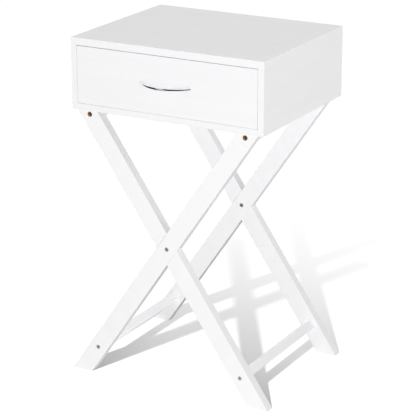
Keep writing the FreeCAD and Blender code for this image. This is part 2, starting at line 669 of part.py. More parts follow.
def roller_axle():
    """A rivet along +Z: end flush with the sheet's far face, shoulder, journal and head."""
    shoulder_end = RUNNER_SHEET + ROLLER_STANDOFF - ROLLER_GAP
    head_start = RUNNER_SHEET + ROLLER_STANDOFF + ROLLER_WIDTH + ROLLER_GAP
    head_end = head_start + AXLE_HEAD_THICKNESS
    return turned([
        (0, 0), (AXLE_RADIUS, 0), (AXLE_RADIUS, RUNNER_SHEET), (AXLE_HEAD_RADIUS, RUNNER_SHEET),
        (AXLE_HEAD_RADIUS, shoulder_end), (AXLE_RADIUS, shoulder_end), (AXLE_RADIUS, head_start),
        (AXLE_HEAD_RADIUS, head_start), (AXLE_HEAD_RADIUS, head_end - AXLE_HEAD_BEVEL),
        (AXLE_HEAD_RADIUS - AXLE_HEAD_BEVEL, head_end), (0, head_end),
    ])


def with_screws(runner, places, length):
    """Drill a runner for its fixing screws; returns the runner and the screws."""
    sheet_hole = plain_hole(RUNNER_SCREW_RADIUS, RUNNER_SHEET + HOLE_LEAD)
    screw = pan_screw(RUNNER_SCREW_HEAD_RADIUS, RUNNER_SCREW_HEAD_HEIGHT, RUNNER_SCREW_RADIUS, length)
    runner = cut_all(runner, [placed(sheet_hole, *place) for place in places])
    return runner, [placed(screw, *place) for place in places]


def cabinet_runner(axle_place):
    """A folded channel, open towards the drawer, with a stop that the rear roller meets."""
    length = (CABINET_RUNNER_Y, CABINET_RUNNER_Y + RUNNER_LENGTH)
    lowest_z = CHANNEL_FLOOR_Z - RUNNER_SHEET
    highest_z = CHANNEL_ROOF_Z + RUNNER_SHEET
    flange_x = (CHANNEL_LIP_X, INNER_X)
    web = box((INNER_X - RUNNER_SHEET, INNER_X), length, (lowest_z, highest_z))
    floor_flange = box(flange_x, length, (lowest_z, CHANNEL_FLOOR_Z))
    roof_flange = box(flange_x, length, (CHANNEL_ROOF_Z, highest_z))

    height_above_stop = REAR_ROLLER_Z - CHANNEL_FLOOR_Z - STOP_HEIGHT
    stop_reach = math.sqrt(ROLLER_RADIUS ** 2 - height_above_stop ** 2)
    stop_y = REAR_AXLE_Y - DRAWER_TRAVEL - stop_reach - ROLLER_GAP
    stop = box(flange_x, (stop_y - RUNNER_SHEET, stop_y), (lowest_z, CHANNEL_FLOOR_Z + STOP_HEIGHT))

    channel = web.fuse([floor_flange, roof_flange, stop]).removeSplitter()
    channel = channel.cut(placed(plain_hole(AXLE_RADIUS, RUNNER_SHEET + HOLE_LEAD), *axle_place))
    places = [((INNER_X - RUNNER_SHEET, y, CABINET_RUNNER_SCREW_Z), (1, 0, 0))
              for y in CABINET_RUNNER_SCREW_YS]
    return with_screws(channel, places, CABINET_RUNNER_SCREW_LENGTH)


def drawer_runner(axle_place):
    """A folded section under the drawer side, with a flange that rides on the front roller."""
    length = (DRAWER_RUNNER_Y, DRAWER_RUNNER_Y + RUNNER_LENGTH)
    shelf_z = DRAWER_BOX_Z - RUNNER_SHEET
    web_x = DRAWER_SIDE_X + RUNNER_SHEET
    web = box((DRAWER_SIDE_X, web_x), length, (shelf_z, RIDER_Z + RUNNER_SHEET))
    rider = box((DRAWER_SIDE_X, RIDER_X), length, (RIDER_Z, RIDER_Z + RUNNER_SHEET))
    shelf = box((DRAWER_INNER_X + SHELF_SETBACK, web_x), length, (shelf_z, DRAWER_BOX_Z))
    section = web.fuse([rider, shelf]).removeSplitter()
    section = section.cut(placed(plain_hole(AXLE_RADIUS, RUNNER_SHEET + HOLE_LEAD), *axle_place))
    places = [((DRAWER_SIDE_MIDDLE_X, y, shelf_z), (0, 0, 1)) for y in DRAWER_RUNNER_SCREW_YS]
    return with_screws(section, places, DRAWER_RUNNER_SCREW_LENGTH)


def make_runners():
    front_axle_place = ((INNER_X, FRONT_AXLE_Y, FRONT_ROLLER_Z), (-1, 0, 0))
    rear_axle_place = ((DRAWER_SIDE_X, REAR_AXLE_Y, REAR_ROLLER_Z), (1, 0, 0))
    channel, channel_screws = cabinet_runner(front_axle_place)
    section, section_screws = drawer_runner(rear_axle_place)
    front_roller = placed(roller(), (FRONT_ROLLER_X, FRONT_AXLE_Y, FRONT_ROLLER_Z), (-1, 0, 0))
    rear_roller = placed(roller(), (REAR_ROLLER_X, REAR_AXLE_Y, REAR_ROLLER_Z), (1, 0, 0))
    parts = {}
    for side in SIDES:
        parts[f"{side}_cabinet_runner"] = on_side(channel, side)
        parts[f"{side}_drawer_runner"] = on_side(section, side)
        parts[f"{side}_front_roller"] = on_side(front_roller, side)
        parts[f"{side}_rear_roller"] = on_side(rear_roller, side)
    parts["front_roller_axles"] = on_both_sides([placed(roller_axle(), *front_axle_place)])
    parts["rear_roller_axles"] = on_both_sides([placed(roller_axle(), *rear_axle_place)])
    parts["cabinet_runner_screws"] = on_both_sides(channel_screws)
    parts["drawer_runner_screws"] = on_both_sides(section_screws)
    return parts


# ---- Export ---------------------------------------------------------------------------------

def save(node, shape):
    """Write one node; a list is a group of identical loose pieces."""
    solid = Part.makeCompound(shape) if isinstance(shape, list) else shape
    if not solid.isValid():
        raise ValueError(f"{node} is not a valid solid")
    solid.exportStep(f"parts/{node}.step")
    size = solid.optimalBoundingBox(False)
    print(f"{node:24s} solids {len(solid.Solids)}"
          f"  x {size.XMin:8.2f} {size.XMax:8.2f}"
          f"  y {size.YMin:8.2f} {size.YMax:8.2f}"
          f"  z {size.ZMin:8.2f} {size.ZMax:8.2f}")


os.makedirs("parts", exist_ok=True)
for section in (make_cabinet(), make_stand(), make_drawer(), make_runners()):
    for node_name, node_shape in section.items():
        save(node_name, node_shape)
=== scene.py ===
import math

import bmesh
import bpy
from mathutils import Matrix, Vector


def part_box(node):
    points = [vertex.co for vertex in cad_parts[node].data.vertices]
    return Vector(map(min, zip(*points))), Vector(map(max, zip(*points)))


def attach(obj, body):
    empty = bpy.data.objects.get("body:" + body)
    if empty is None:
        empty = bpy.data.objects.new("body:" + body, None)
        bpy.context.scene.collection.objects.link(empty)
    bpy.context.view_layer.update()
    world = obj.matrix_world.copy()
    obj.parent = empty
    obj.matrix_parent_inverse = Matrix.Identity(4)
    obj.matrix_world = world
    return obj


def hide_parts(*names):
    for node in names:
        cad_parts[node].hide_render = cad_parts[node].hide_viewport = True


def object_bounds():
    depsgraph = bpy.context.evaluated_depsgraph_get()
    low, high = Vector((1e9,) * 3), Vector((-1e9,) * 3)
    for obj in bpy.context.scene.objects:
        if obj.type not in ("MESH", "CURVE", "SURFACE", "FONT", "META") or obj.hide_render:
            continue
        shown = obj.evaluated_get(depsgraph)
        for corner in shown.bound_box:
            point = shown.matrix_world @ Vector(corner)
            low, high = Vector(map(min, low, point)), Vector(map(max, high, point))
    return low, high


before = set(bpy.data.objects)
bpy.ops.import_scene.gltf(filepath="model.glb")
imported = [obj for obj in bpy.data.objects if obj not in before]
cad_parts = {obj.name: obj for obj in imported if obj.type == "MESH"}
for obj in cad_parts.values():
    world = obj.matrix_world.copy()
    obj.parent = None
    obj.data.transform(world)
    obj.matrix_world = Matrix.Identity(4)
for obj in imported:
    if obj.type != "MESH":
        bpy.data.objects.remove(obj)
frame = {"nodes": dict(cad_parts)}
CAD_LOW, CAD_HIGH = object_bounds()

# Looks for a white side table: one drawer on two crossed-leg frames.
# Metres, +Z up, the front faces -Y. The CAD nodes keep their shapes and get procedural finishes.

# ---- Places read from the frame ---------------------------------------------------------------


def middle(node):
    low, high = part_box(node)
    return (low + high) / 2


CENTRE = (CAD_LOW + CAD_HIGH) / 2
CROSSING_Z = middle("cross_screws").z
TOP_SCREW_LOW, TOP_SCREW_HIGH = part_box("leg_top_screws")
TOP_SCREW_RADIUS = (TOP_SCREW_HIGH.z - TOP_SCREW_LOW.z) / 2
TOP_SCREW_X = TOP_SCREW_HIGH.x - TOP_SCREW_RADIUS
TOP_SCREW_Z = (TOP_SCREW_HIGH.z + TOP_SCREW_LOW.z) / 2
LEG_LEAN = math.atan2(TOP_SCREW_X, TOP_SCREW_Z - CROSSING_Z)
PULL_CENTRE = middle("drawer_pull")

# ---- Camera -------------------------------------------------------------------------------------

CAMERA_AZIMUTH = math.radians(28.87)
CAMERA_ELEVATION = math.radians(18.55)
CAMERA_DISTANCE = 3.402
CAMERA_LENS = 152.65
CAMERA_SENSOR = 36.0
CAMERA_CLIP_START = 0.05
CAMERA_CLIP_END = 60.0
CAMERA_AIM = Vector((CENTRE.x - 0.0024, CENTRE.y + 0.0145, CENTRE.z - 0.0166))


def direction(azimuth, elevation):
    """Unit vector from the object towards a viewer or light; azimuth 0 is straight in front."""
    return Vector((
        math.sin(azimuth) * math.cos(elevation),
        -math.cos(azimuth) * math.cos(elevation),
        math.sin(elevation),
    ))


def aim(obj, target):
    """Turns obj's -Z axis to point from where it is towards target."""
    obj.rotation_mode = "QUATERNION"
    obj.rotation_quaternion = (target - obj.location).to_track_quat("-Z", "Y")


def make_camera():
    data = bpy.data.cameras.new("camera")
    data.lens = CAMERA_LENS
    data.sensor_width = CAMERA_SENSOR
    data.clip_start = CAMERA_CLIP_START
    data.clip_end = CAMERA_CLIP_END
    camera = bpy.data.objects.new("camera", data)
    bpy.context.scene.collection.objects.link(camera)
    camera.location = CAMERA_AIM + direction(CAMERA_AZIMUTH, CAMERA_ELEVATION) * CAMERA_DISTANCE
    aim(camera, CAMERA_AIM)
    bpy.context.scene.camera = camera


# ---- Light --------------------------------------------------------------------------------------

KEY_FROM = (20.0, 12.0)         # azimuth and elevation in degrees, as for all lights
FILL_FROM = (100.0, 10.0)
TOP_FROM = (150.0, 80.0)
LEFT_BAR_LOW_FROM = (90.0, -34.0)
RIGHT_BAR_LOW_FROM = (60.0, -25.0)
RIGHT_BAR_BACK_FROM = (-90.0, 60.0)
FLOOR_SUN_FROM = (8.5, 33.0)

KEY_DISTANCE = 4.0
FILL_DISTANCE = 3.5
NEAR_DISTANCE = 3.0
KEY_SIZE = 2.5
SOFT_SIZE = 2.4

KEY_STRENGTH = 0.60
STAND_KEY_STRENGTH = 0.64
FILL_STRENGTH = 0.235
STAND_FILL_STRENGTH = 0.20
TOP_STRENGTH = 0.245
STRETCHER_TOP_STRENGTH = 0.14
LEFT_BAR_LOW_STRENGTH = 0.50
RIGHT_BAR_LOW_STRENGTH = 0.18
RIGHT_BAR_BACK_STRENGTH = 0.65
WORLD_STRENGTH = 0.42
FLOOR_SUN_ENERGY = 4.5
FLOOR_SUN_SPREAD = math.radians(1.8)

LEGS = ("front_left_leg", "front_right_leg", "back_left_leg", "back_right_leg")
RAILS = ("left_top_rail", "right_top_rail")
LEFT_BAR = "left_stretcher"
RIGHT_BAR = "right_stretcher"
STRETCHERS = (LEFT_BAR, RIGHT_BAR)
STAND_SCREWS = ("cross_screws", "leg_top_screws", "stretcher_screws", "rail_screws")
STAND = LEGS + RAILS + STRETCHERS + STAND_SCREWS


def group_of(name, objects):
    """A collection that only light linking uses; it isn't part of the scene."""
    group = bpy.data.collections.new(name)
    for obj in objects:
        group.objects.link(obj)
    return group


def add_light(name, kind, origin, distance, receivers, blockers=None):
    """A light aimed at the table's middle that lights only receivers, shaded only by blockers."""
    data = bpy.data.lights.new(name, kind)
    light = bpy.data.objects.new(name, data)
    bpy.context.scene.collection.objects.link(light)
    azimuth, elevation = (math.radians(angle) for angle in origin)
    light.location = CENTRE + direction(azimuth, elevation) * distance
    aim(light, CENTRE)
    light.light_linking.receiver_collection = receivers
    if blockers is not None:
        light.light_linking.blocker_collection = blockers
    return light


def soft_light(name, origin, distance, size, strength, receivers, blockers=None):
    """A square soft box. strength is what a white face turned to it sends back, 1 being paper white."""
    light = add_light(name, "AREA", origin, distance, receivers, blockers)
    light.data.shape = "SQUARE"
    light.data.size = size
    light.data.energy = strength * math.pi * math.pi * distance ** 2
    light.visible_glossy = False


def make_lights(floor):
    """The cabinet hardly shades the stand and never the floor, as in a flatly lit catalogue picture.

    Each light reaches one group of nodes and is shaded by another, or by everything if none is named.
    The floor as the only blocker means no shade. The fill leaves out the right stretcher, which faces it,
    and each stretcher has soft boxes of its own, which lift its narrow edges.
    """
    nodes = frame["nodes"]
    stand = group_of("lit_stand", [nodes[name] for name in STAND])
    filled = group_of("filled_stand", [nodes[name] for name in STAND if name != RIGHT_BAR])
    stretchers = group_of("lit_stretchers", [nodes[name] for name in STRETCHERS])
    left_bar = group_of("lit_left_stretcher", [nodes[LEFT_BAR]])
    right_bar = group_of("lit_right_stretcher", [nodes[RIGHT_BAR]])
    cabinet = group_of("lit_cabinet", [obj for name, obj in nodes.items() if name not in STAND])
    boards = group_of("key_shadow_casters", [obj for name, obj in nodes.items() if name != "drawer_pull"])
    legs = group_of("floor_shadow_casters", [nodes[name] for name in LEGS + STRETCHERS])
    ground = group_of("lit_floor", [floor])

    soft_light("key_on_cabinet", KEY_FROM, KEY_DISTANCE, KEY_SIZE, KEY_STRENGTH, cabinet, boards)
    soft_light("key_on_stand", KEY_FROM, KEY_DISTANCE, KEY_SIZE, STAND_KEY_STRENGTH, stand, ground)
    soft_light("fill_on_cabinet", FILL_FROM, FILL_DISTANCE, SOFT_SIZE, FILL_STRENGTH, cabinet)
    soft_light("fill_on_stand", FILL_FROM, FILL_DISTANCE, SOFT_SIZE, STAND_FILL_STRENGTH, filled)
    near_boxes = (
        ("top_on_cabinet", TOP_FROM, TOP_STRENGTH, cabinet, None),
        ("top_on_stretchers", TOP_FROM, STRETCHER_TOP_STRENGTH, stretchers, stand),
        ("low_on_left_bar", LEFT_BAR_LOW_FROM, LEFT_BAR_LOW_STRENGTH, left_bar, stand),
        ("low_on_right_bar", RIGHT_BAR_LOW_FROM, RIGHT_BAR_LOW_STRENGTH, right_bar, stand),
        ("back_on_right_bar", RIGHT_BAR_BACK_FROM, RIGHT_BAR_BACK_STRENGTH, right_bar, stand),
    )
    for name, origin, strength, receivers, blockers in near_boxes:
        soft_light(name, origin, NEAR_DISTANCE, SOFT_SIZE, strength, receivers, blockers)
    sun = add_light("floor_sun", "SUN", FLOOR_SUN_FROM, KEY_DISTANCE, ground, legs)
    sun.data.energy = FLOOR_SUN_ENERGY
    sun.data.angle = FLOOR_SUN_SPREAD


def make_world():
    """White in the picture and in reflections, and a softer grey wherever it lights the table."""
    world = bpy.data.worlds.new("studio")
    world.use_nodes = True
    nodes = world.node_tree.nodes
    background = nodes["Background"]
    background.inputs["Color"].default_value = (1.0, 1.0, 1.0, 1.0)
    path = nodes.new("ShaderNodeLightPath")
    seen = nodes.new("ShaderNodeMath")
    seen.operation = "MAXIMUM"
    strength = nodes.new("ShaderNodeMapRange")
    strength.inputs["To Min"].default_value = WORLD_STRENGTH
    strength.inputs["To Max"].default_value = 1.0
    links = world.node_tree.links
    links.new(path.outputs["Is Camera Ray"], seen.inputs[0])
    links.new(path.outputs["Is Glossy Ray"], seen.inputs[1])
    links.new(seen.outputs["Value"], strength.inputs["Value"])
    links.new(strength.outputs["Result"], background.inputs["Strength"])
    bpy.context.scene.world = world


# ---- Node trees ---------------------------------------------------------------------------------


NOISE_LOW = 0.3                 # most of a noise's values lie between these two
NOISE_HIGH = 0.7


class Tree:
    """A material's node tree, with short calls for the few nodes that the finishes use."""

    def __init__(self, name):
        self.material = bpy.data.materials.new(name)
        self.material.use_nodes = True
        self.tree = self.material.node_tree
        self.tree.nodes.clear()
        self.output = self.node("ShaderNodeOutputMaterial")
        self.shader = self.node("ShaderNodeBsdfPrincipled")
        self.link(self.shader.outputs["BSDF"], self.output.inputs["Surface"])

    def node(self, kind, **settings):
        made = self.tree.nodes.new(kind)
        for key, value in settings.items():
            setattr(made, key, value)
        return made

    def link(self, source, target):
        self.tree.links.new(source, target)

    def feed(self, target, value):
        """Links value to a socket if it is a socket, and sets it if it is a plain value."""
        if isinstance(value, bpy.types.NodeSocket):
            self.link(value, target)
        else:
            target.default_value = value

    def place(self, stretch, turn=(0.0, 0.0, 0.0), shift=(0.0, 0.0, 0.0)):
        """Object coordinates, turned and then multiplied by stretch."""
        coordinates = self.node("ShaderNodeTexCoord").outputs["Object"]
        turned = self.node("ShaderNodeMapping", vector_type="POINT")
        turned.inputs["Rotation"].default_value = turn
        self.link(coordinates, turned.inputs["Vector"])
        stretched = self.node("ShaderNodeMapping", vector_type="POINT")
        stretched.inputs["Scale"].default_value = stretch
        stretched.inputs["Location"].default_value = shift
        self.link(turned.outputs["Vector"], stretched.inputs["Vector"])
        return stretched.outputs["Vector"]

    def noise(self, vector, scale=1.0, detail=4.0, roughness=0.55, distortion=0.0):
        made = self.node("ShaderNodeTexNoise")
        made.inputs["Scale"].default_value = scale
        made.inputs["Detail"].default_value = detail
        made.inputs["Roughness"].default_value = roughness
        made.inputs["Distortion"].default_value = distortion
        self.link(vector, made.inputs["Vector"])
        return made.outputs["Fac"]

    def spread(self, value, low=NOISE_LOW, high=NOISE_HIGH, to_low=0.0, to_high=1.0):
        """Maps low..high to to_low..to_high, smoothly and without going past either end."""
        made = self.node("ShaderNodeMapRange", interpolation_type="SMOOTHSTEP", clamp=True)
        self.feed(made.inputs["Value"], value)
        made.inputs["From Min"].default_value = low
        made.inputs["From Max"].default_value = high
        made.inputs["To Min"].default_value = to_low
        made.inputs["To Max"].default_value = to_high
        return made.outputs["Result"]

    def mix(self, factor, first, second):
        made = self.node("ShaderNodeMix", data_type="RGBA")
        self.feed(made.inputs["Factor"], factor)
        self.feed(made.inputs["A"], first)
        self.feed(made.inputs["B"], second)
        return made.outputs["Result"]

    def math(self, operation, first, second=0.0):
        made = self.node("ShaderNodeMath", operation=operation)
        self.feed(made.inputs[0], first)
        self.feed(made.inputs[1], second)
        return made.outputs["Value"]

    def axes(self):
        """Object coordinates as three separate numbers."""
        parts = self.node("ShaderNodeSeparateXYZ")
        self.link(self.node("ShaderNodeTexCoord").outputs["Object"], parts.inputs["Vector"])
        return parts.outputs["X"], parts.outputs["Y"], parts.outputs["Z"]

    def bump(self, height, distance, strength=1.0, below=None):
        made = self.node("ShaderNodeBump")
        made.inputs["Distance"].default_value = distance
        made.inputs["Strength"].default_value = strength
        self.link(height, made.inputs["Height"])
        if below is not None:
            self.link(below, made.inputs["Normal"])
        return made.outputs["Normal"]

    def finish(self, colour, roughness, normal=None, **constants):
        """Feeds the shader. The constants are set on its own sockets, by name with _ for a space."""
        self.feed(self.shader.inputs["Base Color"], colour)
        self.feed(self.shader.inputs["Roughness"], roughness)
        if normal is not None:
            self.link(normal, self.shader.inputs["Normal"])
        for key, value in constants.items():
            self.shader.inputs[key.replace("_", " ")].default_value = value
        return self.material


def rgb(red, green, blue):
    return (red, green, blue, 1.0)


def grey(level):
    return rgb(level, level, level)


# ---- Finishes -----------------------------------------------------------------------------------

ALONG_X = (0.0, 0.0, 0.0)
ALONG_Y = (0.0, 0.0, math.radians(90.0))

BARE_WOOD_PALE = rgb(0.56, 0.36, 0.19)
BARE_WOOD_DARK = rgb(0.33, 0.17, 0.07)


SHIFT_STEPS = ((37, 1.7), (23, 2.3), (13, 3.1))     # for X, Y and Z: how many shifts, and how far apart


def seed_of(name):
    """A shift for a board's pattern, the same on every run and chosen by the board's name."""
    total = sum((place + 1) * ord(letter) for place, letter in enumerate(name))
    return tuple((total % count) * step for count, step in SHIFT_STEPS)


FIGURE_STRETCH = (3.0, 42.0, 42.0)
LINE_STRETCH = (9.0, 420.0, 420.0)
PORE_STRETCH = 70.0
PORE_EDGE = (0.56, 0.66)


def grain(tree, turn, shift, fine):
    """Wood grain along local X: broad figure, fine lines and short pores, each 0..1."""
    figure = tree.noise(tree.place(FIGURE_STRETCH, turn, shift), detail=3.0, distortion=0.6)
    lines = tree.noise(tree.place(LINE_STRETCH, turn, shift), detail=5.0, roughness=0.6)
    pores = tree.noise(tree.place((PORE_STRETCH, fine, fine), turn, shift), detail=2.0, roughness=0.5)
    return figure, lines, tree.spread(pores, *PORE_EDGE)


def white_laminate(name, turn):
    """White foil on board with a fine embossed wood grain, satin."""
    tree = Tree("white_laminate_" + name)
    figure, lines, pores = grain(tree, turn, seed_of(name), 1500.0)
    tone = tree.mix(tree.spread(figure), rgb(0.874, 0.873, 0.885), rgb(0.888, 0.887, 0.898))
    tone = tree.mix(tree.spread(lines, 0.42, 0.75, 0.0, 0.20), tone, rgb(0.84, 0.843, 0.855))
    tone = tree.mix(tree.math("MULTIPLY", pores, 0.16), tone, rgb(0.76, 0.765, 0.78))
    gloss = tree.spread(lines, to_low=0.36, to_high=0.47)
    normal = tree.bump(pores, -0.00006, 0.55)
    normal = tree.bump(lines, 0.00005, 0.5, normal)
    return tree.finish(tone, gloss, normal, Specular_IOR_Level=0.45)


def painted_wood(name, turn, bare_bore=False):
    """White satin paint over solid wood. The grain telegraphs through, and the top bores are left bare."""
    tree = Tree("white_painted_wood_" + name)
    shift = seed_of(name)
    figure, lines, pores = grain(tree, turn, shift, 900.0)
    tone = tree.mix(tree.spread(figure), rgb(0.878, 0.876, 0.888), rgb(0.894, 0.892, 0.902))
    tone = tree.mix(tree.math("MULTIPLY", pores, 0.14), tone, rgb(0.78, 0.78, 0.79))
    gloss = tree.spread(figure, to_low=0.30, to_high=0.42)
    brushed = tree.bump(lines, 0.00012, 0.45)
    waves = tree.noise(tree.place((45.0, 60.0, 60.0), turn, shift), detail=2.0)
    normal = tree.bump(waves, 0.0002, 0.35, brushed)
    if bare_bore:
        bare = bore_mask(tree)
        wood = tree.mix(tree.spread(lines, 0.35, 0.65), BARE_WOOD_PALE, BARE_WOOD_DARK)
        tone = tree.mix(bare, tone, wood)
        gloss = tree.math("MAXIMUM", gloss, tree.math("MULTIPLY", bare, 0.75))
    return tree.finish(tone, gloss, normal, Specular_IOR_Level=0.5)


BORE_RADIUS = 0.0045
BORE_BARE_RIM = 0.0006
BORE_RAGGED = 0.0006


def bore_mask(tree):
    """1 inside the two counterbores at the leg tops and on the thin rim that the drill left bare."""
    x, _, z = tree.axes()
    across = tree.math("SUBTRACT", tree.math("ABSOLUTE", x), TOP_SCREW_X)
    along = tree.math("SUBTRACT", z, TOP_SCREW_Z)
    square = tree.math("ADD", tree.math("MULTIPLY", across, across), tree.math("MULTIPLY", along, along))
    distance = tree.math("SQRT", square)
    ragged = tree.noise(tree.place((900.0, 900.0, 900.0)), detail=2.0)
    edge = tree.math("ADD", distance, tree.math("MULTIPLY", ragged, BORE_RAGGED))
    return tree.spread(edge, BORE_RADIUS + BORE_BARE_RIM, BORE_RADIUS + 2 * BORE_BARE_RIM, 1.0, 0.0)


def drawer_board(name, turn):
    """Plain white foil, matt, with the faint orange peel of the board under it."""
    tree = Tree("drawer_board_" + name)
    shift = seed_of(name)
    cloud = tree.noise(tree.place((14.0, 14.0, 14.0), turn, shift), detail=3.0)
    peel = tree.noise(tree.place((700.0, 700.0, 700.0), turn, shift), detail=2.0)
    tone = tree.mix(tree.spread(cloud), rgb(0.83, 0.83, 0.825), rgb(0.862, 0.862, 0.856))
    gloss = tree.spread(peel, to_low=0.46, to_high=0.58)
    return tree.finish(tone, gloss, tree.bump(peel, 0.00006, 0.4), Specular_IOR_Level=0.4)


def hardboard(name):
    """White-faced hardboard, matt, with the pressed fibre showing as fine flecks."""
    tree = Tree("white_hardboard_" + name)
    shift = seed_of(name)
    pressed = tree.place((260.0, 520.0, 260.0), ALONG_X, shift)
    fibre = tree.noise(pressed, detail=5.0, roughness=0.7, distortion=1.2)
    cloud = tree.noise(tree.place((9.0, 9.0, 9.0), ALONG_X, shift), detail=2.0)
    tone = tree.mix(tree.spread(cloud), rgb(0.80, 0.80, 0.79), rgb(0.84, 0.84, 0.83))
    tone = tree.mix(tree.spread(fibre, 0.60, 0.78, 0.0, 0.25), tone, rgb(0.66, 0.64, 0.60))
    return tree.finish(tone, 0.62, tree.bump(fibre, 0.00008, 0.5), Specular_IOR_Level=0.3)


def metal(name, dark, light, gloss_low, gloss_high, scale, pit=0.00002):
    """Plated or bare metal: tone and gloss wander together, over a very fine pitted surface."""
    tree = Tree(name)
    cloud = tree.noise(tree.place((scale, scale, scale)), detail=4.0, roughness=0.6)
    fine = tree.noise(tree.place((4000.0, 4000.0, 4000.0)), detail=2.0)
    tone = tree.mix(tree.spread(cloud), dark, light)
    gloss = tree.spread(cloud, to_low=gloss_high, to_high=gloss_low)
    return tree.finish(tone, gloss, tree.bump(fine, pit, 0.5), Metallic=1.0)


def chrome(name):
    """Polished chrome plate with a trace of polishing lines along the bow."""
    tree = Tree(name)
    haze = tree.noise(tree.place((60.0, 60.0, 60.0)), detail=3.0)
    polish = tree.noise(tree.place((60.0, 60.0, 5200.0)), detail=2.0)
    tone = tree.mix(tree.spread(haze), rgb(0.84, 0.85, 0.865), rgb(0.90, 0.905, 0.915))
    gloss = tree.spread(haze, to_low=0.035, to_high=0.075)
    return tree.finish(tone, gloss, tree.bump(polish, 0.000004, 0.4), Metallic=1.0)


def beech(name):
    """Raw beech with open pores."""
    tree = Tree(name)
    figure, lines, pores = grain(tree, ALONG_X, seed_of(name), 1200.0)
    tone = tree.mix(tree.spread(figure), rgb(0.62, 0.42, 0.24), rgb(0.74, 0.55, 0.35))
    tone = tree.mix(tree.math("MULTIPLY", pores, 0.5), tone, rgb(0.40, 0.24, 0.12))
    return tree.finish(tone, tree.spread(lines, to_low=0.6, to_high=0.75), tree.bump(lines, 0.0001, 0.5))


def enamel(name):
    """White baked enamel on folded steel, with the orange peel of powder coat."""
    tree = Tree(name)
    peel = tree.noise(tree.place((600.0, 600.0, 600.0)), detail=1.0)
    cloud = tree.noise(tree.place((30.0, 30.0, 30.0)), detail=3.0)
    tone = tree.mix(tree.spread(cloud), rgb(0.80, 0.80, 0.78), rgb(0.84, 0.84, 0.82))
    gloss = tree.spread(cloud, to_low=0.24, to_high=0.34)
    return tree.finish(tone, gloss, tree.bump(peel, 0.00008, 0.4), Coat_Weight=0.3, Coat_Roughness=0.15)


NYLON_TREAD = 0.0070
NYLON_WEAR_IN = 0.0006
NYLON_WEAR_OUT = 0.0004


def nylon(name, node):
    """Moulded nylon roller, its tread rubbed grey and a little glossier."""
    tree = Tree(name)
    centre = middle(node)
    _, y, z = tree.axes()
    across = tree.math("SUBTRACT", y, centre.y)
    above = tree.math("SUBTRACT", z, centre.z)
    square = tree.math("ADD", tree.math("MULTIPLY", across, across), tree.math("MULTIPLY", above, above))
    reach = tree.math("SQRT", square)
    worn = tree.spread(reach, NYLON_TREAD - NYLON_WEAR_IN, NYLON_TREAD + NYLON_WEAR_OUT)
    speckle = tree.noise(tree.place((900.0, 900.0, 900.0)), detail=3.0)
    tone = tree.mix(tree.spread(speckle, 0.35, 0.65), rgb(0.74, 0.74, 0.70), rgb(0.79, 0.79, 0.75))
    tone = tree.mix(tree.math("MULTIPLY", worn, 0.5), tone, rgb(0.52, 0.52, 0.50))
    gloss = tree.spread(worn, 0.0, 1.0, 0.5, 0.34)
    return tree.finish(
        tone, gloss, tree.bump(speckle, 0.00004, 0.4),
        Subsurface_Weight=0.08, Subsurface_Scale=0.002,
    )


# ---- A finish for every node --------------------------------------------------------------------

LEAN_LEFT = (0.0, math.radians(90.0) + LEG_LEAN, 0.0)
LEAN_RIGHT = (0.0, math.radians(90.0) - LEG_LEAN, 0.0)


def finishes():
    """Material for each CAD node, by the node's name."""
    made = {}
    for name in ("top_panel", "bottom_panel", "drawer_front"):
        made[name] = white_laminate(name, ALONG_X)
    for name in ("left_side_panel", "right_side_panel"):
        made[name] = white_laminate(name, ALONG_Y)
    for name in ("front_left_leg", "back_left_leg"):
        made[name] = painted_wood(name, LEAN_LEFT, bare_bore=True)
    for name in ("front_right_leg", "back_right_leg"):
        made[name] = painted_wood(name, LEAN_RIGHT, bare_bore=True)
    for name in RAILS + STRETCHERS:
        made[name] = painted_wood(name, ALONG_Y)
    for name in ("drawer_left_side", "drawer_right_side"):
        made[name] = drawer_board(name, ALONG_Y)
    made["drawer_back"] = drawer_board("drawer_back", ALONG_X)
    for name in ("back_panel", "drawer_floor"):
        made[name] = hardboard(name)
    made["drawer_pull"] = chrome("hidden_chrome")

    zinc = metal("zinc_screw", rgb(0.44, 0.45, 0.47), rgb(0.66, 0.67, 0.69), 0.22, 0.38, 500.0)
    bronze = metal("bronze_screw", rgb(0.24, 0.12, 0.05), rgb(0.45, 0.25, 0.11), 0.28, 0.45, 500.0)
    alloy = metal("cam_alloy", rgb(0.46, 0.47, 0.48), rgb(0.62, 0.63, 0.64), 0.38, 0.55, 350.0, 0.00006)
    steel = metal("rivet_steel", rgb(0.42, 0.43, 0.44), rgb(0.58, 0.59, 0.60), 0.28, 0.42, 400.0)
    wood = beech("beech_dowel")
    coat = enamel("runner_enamel")
    groups = {
        zinc: (
            "carcass_cam_bolts", "cross_screws", "stretcher_screws", "rail_screws", "cabinet_runner_screws",
            "pull_screws", "drawer_cam_bolts", "drawer_back_screws", "drawer_runner_screws",
        ),
        bronze: ("leg_top_screws",),
        alloy: ("carcass_cam_discs", "drawer_cam_discs"),
        steel: ("front_roller_axles", "rear_roller_axles"),
        wood: ("carcass_dowels", "drawer_dowels"),
        coat: ("left_cabinet_runner", "right_cabinet_runner", "left_drawer_runner", "right_drawer_runner"),
    }
    for material, names in groups.items():
        for name in names:
            made[name] = material
    for name in ("left_front_roller", "right_front_roller", "left_rear_roller", "right_rear_roller"):
        made[name] = nylon("roller_nylon_" + name, name)
    return made


def dress_nodes():
    made = finishes()
    for name, obj in frame["nodes"].items():
        for place in obj.material_slots:
            place.material = made[name]


# ---- Drawer pull --------------------------------------------------------------------------------


def mesh_object(name, build):
    """Object made by a function that fills a bmesh."""
    shape = bmesh.new()
    build(shape)
    data = bpy.data.meshes.new(name)
    shape.to_mesh(data)
    shape.free()
    made = bpy.data.objects.new(name, data)
    bpy.context.scene.collection.objects.link(made)
    return made


